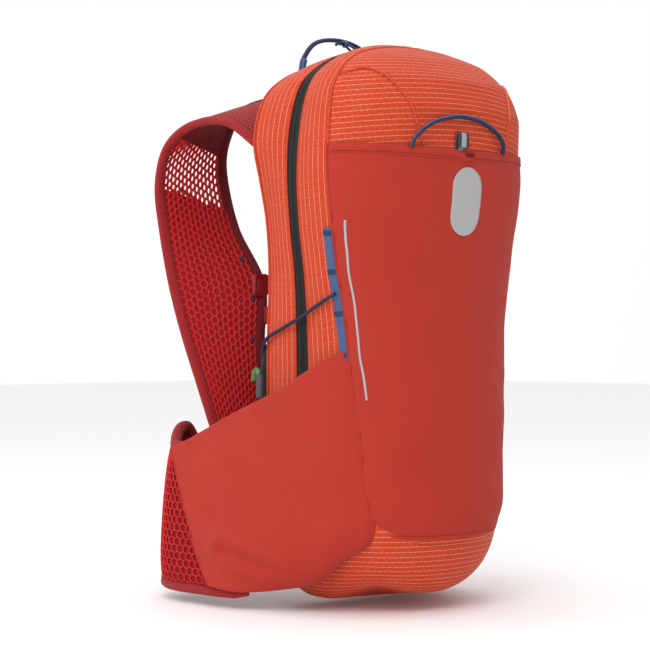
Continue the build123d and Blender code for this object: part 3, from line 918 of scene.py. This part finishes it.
def makeSidePockets():
    u = np.linspace(0, 1, 110)[None, :] * np.ones((90, 1))
    v = np.linspace(0, 1, 90)[:, None] * np.ones((1, 110))
    grid = sideSurface(u, v)
    mouth = evenly(grid[-1] + (0.5, 0, 0), 140)
    mouthRow = evenly(grid[-7] + (-0.35, -0.1, 0), 160)
    rear = evenly(grid[:, -1] + (-0.3, 0, 0), 90)
    rearRow = evenly(grid[:, -4] + (-0.4, 0, 0), 90)
    cloth = {"slot": "stretch_cloth"}
    folded = {"fold": sidePocket["fold"]}
    pieces = both(sheetPiece, "sidePocket", grid, "stretch", sidePocket["cloth"], "stretch", node="side_pocket",
                  **cloth, **folded)
    both(tubePiece, "sidePocketMouth", mouth, (1.6, 1.1), "stretch", **cloth, **folded)
    both(stitchRow, "sidePocketStitch", mouthRow, (-1.0, -0.35, 0.1), **folded)
    both(tubePiece, "sidePocketRear", rear, (1.5, 0.9), "stretch", body="wing_{}", **cloth)
    both(stitchRow, "rearStitch", rearRow, (-1, 0, 0), 2.8, 1.9, body="wing_{}")
    both(tubePiece, "sidePocketBase", evenly(grid[0], 120), 1.3, "stretch", **cloth, **folded)


wing = {
    "x": -127.0,
    "start": 1.0,
    "bendY": 80.0,
    "bend": 66.0,
    "thick": 9.0,
    "low": 14.0,
    "high": 138.0,
    "length": 182.7,
    "lowRise": 44,
    "highRise": 15,
    "highDrop": 14,
    "rootInset": 6.0,
    "lean": 9.0,
    "netEdge": (34, 0.537),
}


def wingFrame(s):
    # point on the wing's middle line and its outward direction
    s = np.asarray(s, float)
    turn = np.clip((s - (wing["bendY"] - wing["start"])) / wing["bend"], 0, math.pi / 2)
    straight = np.minimum(s, wing["bendY"] - wing["start"])
    x = wing["x"] + wing["bend"] * (1 - np.cos(turn)) + wing["rootInset"] * (1 - smoothStep(0, 36, s))
    y = wing["start"] + straight + wing["bend"] * np.sin(turn)
    return x, y, -np.cos(turn), np.sin(turn)


def wingEdges(s):
    low = wing["low"] + wing["lowRise"] * smoothStep(128, wing["length"], s)
    high = wing["high"] + wing["highRise"] * smoothStep(112, 160, s)
    return low, high - wing["highDrop"] * smoothStep(164, wing["length"], s)


def wingPoint(s, t, out):
    x, y, nx, ny = wingFrame(s)
    low, high = wingEdges(s)
    crown = out * (1 - np.abs(2 * t - 1) ** 5) ** 0.5 - wing["lean"] * t ** 2 * smoothStep(60, 130, s)
    return np.stack([x + nx * crown, y + ny * crown, low + (high - low) * t], -1)


def twoFaced(name, front, back, paints, side=1):
    # closed pad between two matching grids, a material for each face
    rows, columns = front.shape[:2]
    count = rows * columns
    faces = gridFaces(rows, columns)
    other = [tuple(count + v for v in reversed(face)) for face in faces]
    index = np.arange(count).reshape(rows, columns)
    loop = [*index[0], *index[1:, -1], *index[-1, -2::-1], *index[-2:0:-1, 0]]
    rim = [(a, count + a, count + b, b) for a, b in zip(loop, loop[1:] + loop[:1])]
    cloth = np.vstack([gridCloth(front).reshape(-1, 2)] * 2)
    points = np.vstack([front.reshape(-1, 3), back.reshape(-1, 3)])
    piece = buildPiece(name, points, faces + other + rim, cloth, paints, side)
    piece.data.polygons.foreach_set("material_index", [0] * len(faces) + [1] * len(other) + [0] * len(rim))
    return piece


hexagon = [(0, -0.5), (0.5, -0.25), (0.5, 0.25), (0, 0.5), (-0.5, 0.25), (-0.5, -0.25)]


def latticePiece(name, spanA, spanB, cell, strand, onto, inside, side):
    # net of six-sided cells laid on a surface; onto turns (a, b) in mm into points
    width, height = cell
    found, flat, faces = {}, [], []

    def corner(a, b):
        key = (round(a * 20), round(b * 20))
        if key not in found:
            found[key] = len(flat)
            flat.append((a, b))
        return found[key]

    for j in range(int((spanB[1] - spanB[0]) / (height * 0.75)) + 1):
        b = spanB[0] + j * height * 0.75
        for i in range(int((spanA[1] - spanA[0]) / width) + 1):
            a = spanA[0] + i * width + j % 2 * width / 2
            if inside(a, b):
                faces.append(tuple(corner(a + p * width, b + q * height) for p, q in hexagon))
    flat = np.array(flat)
    piece = buildPiece(name, onto(flat[:, 0], flat[:, 1]), faces, flat, ["strand"], side)
    wire = piece.modifiers.new("strands", "WIREFRAME")
    wire.thickness = strand * mm
    wire.use_even_offset = False
    wire.use_boundary = True
    wire.use_replace = True
    return piece


def makeWings():
    half, count = wing["thick"] / 2, 90
    run = np.linspace(0, wing["length"], count)
    s = run[None, :] * np.ones((50, 1))
    t = (0.5 - 0.5 * np.cos(np.linspace(0, math.pi, 50)))[:, None] * np.ones((1, count))
    outer = wingPoint(s, t, half - 0.6)
    inner = wingPoint(s, t, -half)

    def onto(a, b):
        low, high = wingEdges(a)
        return wingPoint(a, np.clip((b - low) / (high - low), 0.02, 0.98), half + 0.25)

    def inside(a, b):
        # the side pocket's slanted rear edge bounds the net
        low, high = wingEdges(a)
        start, slope = wing["netEdge"]
        return low + 6 < b < high - 5 and start + slope * (b - 24) < a < wing["length"] - 4

    top = wingPoint(run, np.ones(count), 0)
    low = wingPoint(run, np.zeros(count), 0)
    end = wingPoint(np.full(40, wing["length"]), np.linspace(0, 1, 40), 0)
    loop = evenly(np.vstack([low[:-1], end, top[::-1][1:]]), 300)
    thin = np.minimum(np.linspace(0.35, 20, 300), 1) * np.minimum(np.linspace(20, 0.35, 300), 1)
    x, y, nx, ny = wingFrame(run)
    normals = np.stack([nx, ny, np.zeros(count)], 1)
    rides = {"body": "wing_{}", "slot": "wing_mesh"}
    for piece in both(twoFaced, "hipWing", outer, inner, ["backing", "darkKnit"], node="hip_wing", **rides):
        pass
    both(latticePiece, "wingNet", (20, 180), (10, 160), (8.2, 8.4), 2.1, onto, inside, **rides)
    # rolled binding round the top, the free end and the bottom
    both(tubePiece, "wingBinding", loop, (4.9, 5.0), "binding", up=(0.3, 0.5, 0.2), around=14, taper=thin, **rides)
    for name, row, shift in (("Top", top, -4.2), ("Low", low, 4.6)):
        path = row + normals * 4.6 + (0, 0, shift)
        both(stitchRow, f"wing{name}Stitch", path, normals, 3.0, 2.0, 0.33, body="wing_{}")


strap = {
    "outer": [(-101, 8, 403), (-105, 46, 426), (-107, 92, 426), (-108, 124, 408), (-107, 137, 374),
              (-106, 131, 330), (-105, 119, 282), (-104, 102, 236), (-103, 82, 192), (-102, 64, 152)],
    "inner": [(-34, 9, 426), (-34, 56, 450), (-33, 104, 446), (-32, 128, 426), (-33, 135, 392),
              (-40, 110, 336), (-44, 70, 284), (-50, 64, 236), (-54, 60, 190), (-62, 53, 150)],
    "thick": 6.0,
    "wide": 70.0,
    "open": (113.0, 165.0),
    "slant": 38.0,
    "length": 402.0,
    "tacks": (243, 279, 315, 351),
}


def makeStrapGuide():
    count = 240
    keys = np.linspace(0, 1, len(strap["outer"]))
    edges = []
    for name in ("outer", "inner"):
        # matching stations rather than matching lengths
        path = curveThrough(strap[name], count)
        run = lengths(path) / lengths(path)[-1]
        stations = [run[np.argmin(np.linalg.norm(path - np.array(p), axis=1))] for p in strap[name]]
        edges.append(sampled(np.interp(np.linspace(0, 1, count), keys, stations), run, path))
    outer, inner = edges
    middle = (outer + inner) / 2
    # the normal points away from the wearer: upwards at the root
    normal = unit(np.cross(inner - outer, unit(np.gradient(middle, axis=0))))
    normal *= math.copysign(1, normal[10, 2])
    return outer, inner, normal, lengths(middle) / lengths(middle)[-1] * strap["length"]


strapGuide = makeStrapGuide()


def strapPoint(run, across, out):
    # run in mm from the yoke, across from 0 at the outer edge to 1 at the inner edge
    outer, inner, normal = (sampled(run, strapGuide[3], part) for part in strapGuide[:3])
    across = np.asarray(across)[..., None]
    return outer + (inner - outer) * across + normal * out * (1 - np.abs(2 * across - 1) ** 4) ** 0.5


def makeStraps():
    half, wide, length, slant = strap["thick"] / 2, strap["wide"], strap["length"], strap["slant"]
    opens, closes = strap["open"]

    def padPair(low, high, slantLow, slantHigh):
        share = np.linspace(0, 1, int((high - low) / 2.6))[:, None]
        across = np.linspace(0.02, 0.98, 31)[None, :] * np.ones_like(share)
        start, end = low + slantLow * across, high + slantHigh * across
        run = start + (end - start) * share
        return strapPoint(run, across, half), strapPoint(run, across, -half)

    def onto(lift):
        return lambda a, b: strapPoint(a, np.clip(b / wide, 0.03, 0.97), -lift)

    def onPad(a, b):
        return closes + slant / wide * b < a < 397 and 4.5 < b < 65.5

    def onWindow(a, b):
        return opens - 5 < a - slant / wide * b < closes + 5

    yoke, lower = padPair(0, opens, 0, slant), padPair(closes, length, slant, 0)
    edges = (("Outer", 0.0, 0.045, "binding"), ("Inner", 1.0, -0.045, "bindingDark"))
    run = np.linspace(0, length, 220)
    normals = sampled(run, strapGuide[3], strapGuide[2])
    daisyRun = np.linspace(205, 380, 120)
    daisyNormals = sampled(daisyRun, strapGuide[3], strapGuide[2])
    rides = {"body": "strap_{}", "slot": "strap_mesh"}
    pads = both(twoFaced, "strapYoke", *yoke, ["yokeKnit", "darkKnit"], node="shoulder_strap", **rides)
    for piece in pads + both(twoFaced, "strapPad", *lower, ["fineKnit", "backing"], **rides):
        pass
    both(latticePiece, "strapNet", (closes, 399), (5, 65), (7.4, 6.4), 2.9, onto(half + 0.2), onPad, **rides)
    window = (opens - 6, closes + slant + 6)
    both(latticePiece, "strapWindow", window, (2, 68), (7.0, 5.6), 3.5, onto(0.4), onWindow, **rides)
    for name, across, toward, paint in edges:
        path = strapPoint(run, np.full(220, across), 0)
        both(tubePiece, f"strap{name}Binding", path, (5.0, 3.7), paint, up=normals, around=14, square=0.8, **rides)
        for word, sign in (("Top", 1), ("Under", -1)):
            row = strapPoint(run, np.full(220, across + toward), 0) + normals * (sign * 3.45)
            both(stitchRow, f"strap{name}{word}Stitch", row, normals * sign, 3.1, 2.0, 0.33, body="strap_{}")
    # hanger webbing down the strap's outer face, with small tacks under the inner edge
    path = strapPoint(daisyRun, np.full(120, 0.74), half + 0.9)
    both(ribbonPiece, "strapDaisy", path, daisyNormals, 12, 1.3, "redWeb", body="strap_{}", slot="red_webbing")
    for k, spot in enumerate(strap["tacks"]):
        path = strapPoint(np.linspace(spot, spot + 6, 8), np.full(8, 0.9), -half - 0.9)
        both(ribbonPiece, f"strapTack{k}", path, daisyNormals[:8], 2.9, 1.4, "navyThread", body="strap_{}")


makeSidePockets()
print("side pockets sewn")
makeWings()
print("wings sewn")
makeStraps()
print("straps sewn")

pad = {
    "spine": [(-20, 166), (-66, 170), (-75, 190), (-75, 300), (-74, 378), (-60, 392), (-30, 390),
              (-20, 376), (-18, 260)],
    "lumbar": [(-40, 38), (0, 36), (40, 38), (57, 62), (58, 110), (40, 142), (0, 146), (-40, 142),
               (-58, 110), (-57, 62)],
    "rear": 8.6,
    "levels": [(0.0, 0.93), (0.25, 1.0), (0.7, 1.0), (1.0, 0.9)],
    "voxel": 5.0,
    "pressure": 4.0,
    "growth": 5.0,
    "steps": 20,
}


def padBlank(name, outline, depth, side=1):
    # rough block of foam with the pad's outline
    ring = curveThrough(outline + outline[:1], 90)[:-1]
    middle = ring.mean(0)
    rows = []
    for level, share in pad["levels"]:
        flat = middle + (ring - middle) * share
        rows.append(np.stack([flat[:, 0], np.full(len(flat), pad["rear"] + depth * level), flat[:, 1]], 1))
    grid = np.stack(rows, 0)
    piece = loftPiece(name, grid, grid[:, :, [0, 2]], ["fineKnit"], side)
    remesh = piece.modifiers.new("even", "REMESH")
    remesh.mode = "VOXEL"
    remesh.voxel_size = pad["voxel"] * mm
    return piece


def coordinates(piece):
    return np.array([v.co[:] for v in piece.data.vertices])


def inflate(pieces):
    # blows the pads up a little, then bakes the result
    for piece in pieces:
        meshed(piece)
    flat = [coordinates(piece) for piece in pieces]
    for piece in pieces:
        air = piece.modifiers.new("air", "CLOTH")
        air.settings.use_pressure = True
        air.settings.uniform_pressure_force = pad["pressure"]
        air.settings.effector_weights.gravity = 0
        air.settings.quality = 5
        air.point_cache.frame_start = 1
        air.point_cache.frame_end = pad["steps"]
    for step in range(pad["steps"]):
        bpy.context.scene.frame_set(step + 1)
    for piece, before in zip(pieces, flat):
        meshed(piece)
        grown = coordinates(piece) - before
        size = np.linalg.norm(grown, axis=1, keepdims=True)
        after = before + grown * np.minimum(1, pad["growth"] * mm / np.maximum(size, 1e-9))
        after[:, 1] = np.maximum(after[:, 1], before[:, 1].min())
        piece.data.vertices.foreach_set("co", after.ravel())
    bpy.context.scene.frame_set(1)


def makePads():
    pieces = [padBlank(f"spinePad_{label}", pad["spine"], 7.0, side) for label, side in sides]
    pieces.append(padBlank("lumbarPad", pad["lumbar"], 8.5))
    inflate(pieces)
    for piece, node in zip(pieces, ("spine_pad_left", "spine_pad_right", "lumbar_pad")):
        if "cloth" in piece.data.attributes:
            piece.data.attributes.remove(piece.data.attributes["cloth"])
        writeCloth(piece.data, coordinates(piece)[:, [0, 2]] / mm)
        smooth = piece.modifiers.new("soft", "SUBSURF")
        smooth.levels = smooth.render_levels = 1
        place(piece, "pack", "pad_mesh", [node])
    for name, outline, side in (("spinePiping_left", "spine", 1), ("spinePiping_right", "spine", -1),
                                ("lumbarPiping", "lumbar", 1)):
        ring = curveThrough(pad[outline] + pad[outline][:1], 120)
        path = np.stack([ring[:, 0], np.full(120, pad["rear"] + 1.2), ring[:, 1]], 1)
        place(tubePiece(name, path, 1.5, "bindingDark", side, (0.01, 1, 0.02)), "pack", "pad_mesh")


loops = {
    "haul": [(-46.6, 12.3, 459.5), (-46.6, 12.2, 472), (-42.5, 12, 487), (-28, 12, 500), (0, 12, 504.6),
             (28, 12, 500), (42.5, 12, 487), (46.6, 12.2, 472), (46.6, 12.3, 459.5)],
    "haulFoot": [(-46, 10.4, 440), (-46.4, 10.8, 450), (-46.6, 11.6, 460.5)],
    "pocket": [(-67, -141.5, 394), (-64.5, -145, 403), (-50, -148.2, 414), (-32, -149.6, 419.5),
               (-12, -150.0, 422), (12, -149.8, 419.5), (32, -149, 412), (43, -147.5, 403),
               (44.5, -145.5, 394)],
    "tab": [(-12, -144.0, 374), (-12, -146.2, 392), (-12, -148.2, 404), (-12, -149.4, 408.4),
            (-12, -150.6, 406), (-12, -150.2, 396)],
}
sideTrim = {
    "daisy": (216, 327),
    "daisyOut": (-1, 0.16, 0.1),
    "tacks": (2, 30, 58, 84),
    "cord": [(-105.6, -90, 272), (-105.6, -72, 264), (-104.2, -48, 253), (-100.5, -20, 243),
             (-96.5, 4, 234), (-93.4, 12.5, 221), (-91, 14, 202)],
    "fall": [(-91, 14, 184), (-93.5, 15, 176), (-97, 16, 166), (-101, 14, 154)],
    "lockTab": [(-88, 10.4, 229), (-90, 11, 214), (-91.5, 13.4, 201)],
    "tag": [(-94, 15, 200), (-95.5, 17.5, 207), (-97, 19.5, 204), (-97, 20.5, 197)],
    "pull": [(-31, -42, 485.4), (-35, -45.4, 487.2), (-41, -44.6, 490), (-45, -42, 491.4),
             (-41, -39.4, 490), (-35, -38.6, 487.2), (-31, -42, 485.4)],
}
facing = (0, -1, 0.001)


def makeLoops():
    path = curveThrough(loops["haul"], 120)
    place(ribbonPiece("haulLoop", path, facing, 2.6, 5.0, "navyWeb"), "haul", "navy_loop", ["haul_loop"])
    # light-blue strip along the loop's top outer edge: a painted highlight, not a real piping
    rim = path + unit(path - (0, 12, 455)) * 1.3
    place(tubePiece("haulLoopPaintedHighlight", rim, (1.2, 0.5), "blueWeb", up=(0, 1, 0.01)), "haul", "navy_loop")
    foot = curveThrough(loops["haulFoot"], 24)
    both(ribbonPiece, "haulFoot", foot, (0, 1, -0.05), 7.5, 1.6, "navyWeb", slot="navy_loop")
    stub = path[1:20] + (0, -0.6, 0)
    place(ribbonPiece("haulStub", stub, facing, 4.0, 6.4, "blueWeb"), "haul", "blue_webbing")
    path = curveThrough(loops["pocket"], 120)
    loop = ribbonPiece("pocketLoop", path, facing, 3.4, 2.6, "navyWeb")
    place(loop, "pocket_loop", "navy_loop", ["pocket_loop"])
    # light-blue strip along the loop's top outer edge: a painted highlight, not a real piping
    rim = path + (0, -0.7, 0) + unit(path - (-12, -148, 380)) * 1.3
    place(tubePiece("pocketLoopPaintedHighlight", rim, (0.75, 0.6), "blueWeb", up=(0, 1, 0.01)), "pocket_loop", "navy_loop")
    # hanger tab on the mouth: webbing folded over
    tab = curveThrough(loops["tab"], 40)
    folded = (0, -1, 0.2)
    place(ribbonPiece("hangerTab", tab, folded, 14, 1.3, "greyWeb"), "flap", "blue_webbing", ["hanger_tab"])
    place(ribbonPiece("hangerStripe", tab + (0, -0.6, 0.3), folded, 6, 0.9, "paleWeb"), "flap")
    for k, z in enumerate((391.5, 389.5)):
        spot = onStash(np.linspace(-9, 1, 12), np.full(12, z), 1.0)
        place(ribbonPiece(f"tabTack{k}", spot, (0, -1, 0.1), 1.6, 1.2, "redWeb"), "flap")


def makeSideTrim():
    # ladder of webbing on the side of the flap
    out = sideTrim["daisyOut"]
    z = np.linspace(*sideTrim["daisy"], 90)
    path = np.stack([-frontWidth(z) - 2.6, frontSeamY(z) + 5.2, z], 1)
    rides = {"body": "flap", "slot": "blue_webbing", "node": "side_daisy"}
    both(ribbonPiece, "sideDaisy", path, out, 11.5, 1.3, "blueWeb", **rides)
    for k, low in enumerate(sideTrim["tacks"]):
        bar = path[low:low + 4] + (-0.9, 0, 0)
        both(ribbonPiece, f"daisyTack{k}", bar, out, 11.2, 1.1, "navyThread", body="flap")
    # elastic, its two tails below the lock, the lock's tab and a plain tag
    path = curveThrough(sideTrim["cord"], 130)
    both(tubePiece, "sideCord", path, 1.45, "navyWeb", slot="elastic_cord", node="side_cord", twist=0.5, square=0.7)
    fall = curveThrough(sideTrim["fall"], 50)
    for k, (shift, paint) in enumerate(((0.0, "navyWeb"), (3.4, "blueWeb"))):
        both(tubePiece, f"cordTail{k}", fall + (0, shift, 0), 1.3, paint, slot="elastic_cord", up=(1, 0.1, 0.1))
    path = curveThrough(sideTrim["lockTab"], 30)
    rides = {"slot": "grey_webbing", "node": "cord_lock_tab"}
    both(ribbonPiece, "cordTab", path, (0.2, 1, 0.1), 9, 1.2, "greyWeb", **rides)
    both(ribbonPiece, "plainTag", curveThrough(sideTrim["tag"], 30), (0.3, 1, 0.2), 4, 0.6, "greenTag")
    # zip pull: a loop of cord, a knot and two frayed ends
    pull = {"body": "pull_{}", "slot": "blue_cord"}
    path = curveThrough(sideTrim["pull"], 60)
    both(tubePiece, "pullLoop", path, 1.05, "blueWeb", node="zip_pull", twist=0.6, **pull)
    turn = np.linspace(0, 4.4 * math.pi, 80)
    knot = np.stack([-47.5 + turn * 0.25, -42 + 2.3 * np.cos(turn), 491.6 + 2.1 * np.sin(turn)], 1)
    both(tubePiece, "pullKnot", knot, 1.1, "blueWeb", up=(1, 0.1, 0), **pull)
    frayed = np.linspace(1, 1.5, 20) + 0.18 * np.sin(np.arange(20) * 2.1)
    for k, drift in enumerate((-1.6, 1.6)):
        end = [(-47, -42 + drift * 0.4, 491.8), (-51, -42 + drift, 492.2), (-54.5, -42 + drift * 1.8, 490.4)]
        both(tubePiece, f"pullEnd{k}", curveThrough(end, 20), 0.85, "navyWeb", taper=frayed, **pull)


harness = {
    "lowerLeg": [(-38.4, 64, 278), (43, 64, 278)],
    "upperLeg": [(-38.4, 64, 287.5), (38.5, 101, 333)],
    "sag": 1.6,
    "lowerWeb": [(-74, 20, 67), (-77, 32, 93), (-80, 46, 118), (-84.5, 62.5, 141)],
    "anchor": [(-73, 8.6, 48), (-73.5, 12, 57), (-74, 20.5, 69)],
    "beltWeb": [(-76, 145.4, 84.5), (-39.5, 146, 84.5)],
    "sleeve": {"z": (64, 330), "wide": 64, "y": -10.2, "bulge": 3.2},
}


def makeHarness():
    leg = np.linspace(*harness["lowerLeg"], 60)
    leg[:, 2] -= harness["sag"] * np.sin(np.linspace(0, math.pi, 60))
    web = ribbonPiece("sternumLower", leg, (0, 1, 0.01), 8, 1.4, "redWeb")
    place(web, "sternum", "red_webbing", ["sternum_leg_lower"])
    web = ribbonPiece("sternumUpper", np.linspace(*harness["upperLeg"], 60), (-0.3, 0.9, -0.2), 8, 1.4, "redWeb")
    place(web, "sternum", "red_webbing", ["sternum_leg_upper"])
    webs = (
        ("lowerWebbing", curveThrough(harness["lowerWeb"], 70), (-0.3, 0.8, -0.4), 16, 1.6, "greyWeb",
         {"slot": "grey_webbing", "node": "lower_webbing"}),
        ("webbingAnchor", curveThrough(harness["anchor"], 30), (0, 1, -0.3), 18, 2.6, "redWeb",
         {"slot": "ripstop", "node": "webbing_anchor"}),
        ("beltWebbing", np.linspace(*harness["beltWeb"], 40), (0, 1, 0.01), 24, 1.7, "greyWeb",
         {"body": "wing_{}", "slot": "grey_webbing", "node": "belt_webbing"}),
    )
    for *web, rides in webs:
        both(ribbonPiece, *web, **rides)
    # reservoir sleeve on the frame sheet, open at the top
    sleeve = harness["sleeve"]
    z = np.linspace(*sleeve["z"], 60)[:, None] * np.ones((1, 41))
    x = np.linspace(-1, 1, 41) * np.ones((60, 1))
    y = sleeve["y"] - sleeve["bulge"] * np.cos(x * math.pi / 2) ** 0.5 * smoothStep(64, 110, z)
    grid = np.stack([x * (sleeve["wide"] - 14 * (1 - smoothStep(60, 90, z))), y, z], 2)
    rides = {"body": "pack", "slot": "lining", "stands": ["hydration_sleeve"]}
    sewn("reservoirSleeve", grid, rides, "lining", 0.8, None)
    place(tubePiece("sleeveHem", grid[-1], (1.4, 1.0), "greyWeb"), "pack")


hardware = {
    "frame_sheet": "framePlastic",
    "sternum_hook": "redPlastic",
    "belt_socket": "blackPlastic",
    "belt_prong": "blackPlastic",
    "ladder_lock": "blackPlastic",
    "hose_clip": "redPlastic",
    "hose_clip_tab": "redPlastic",
    "cord_lock": "greyPlastic",
    "cord_lock_button": "blackPlastic",
    "zip_slider": "enamel",
}


def paintHardware():
    for name, paint in hardware.items():
        for node in (name, f"{name}_left", f"{name}_right"):
            if node in bpy.data.objects:
                data = bpy.data.objects[node].data
                data.materials.clear()
                data.materials.append(finish[paint])


makePads()
print("pads filled")
makeLoops()
makeSideTrim()
print("loops and cords placed")
makeHarness()
paintHardware()
print("harness and hardware done")
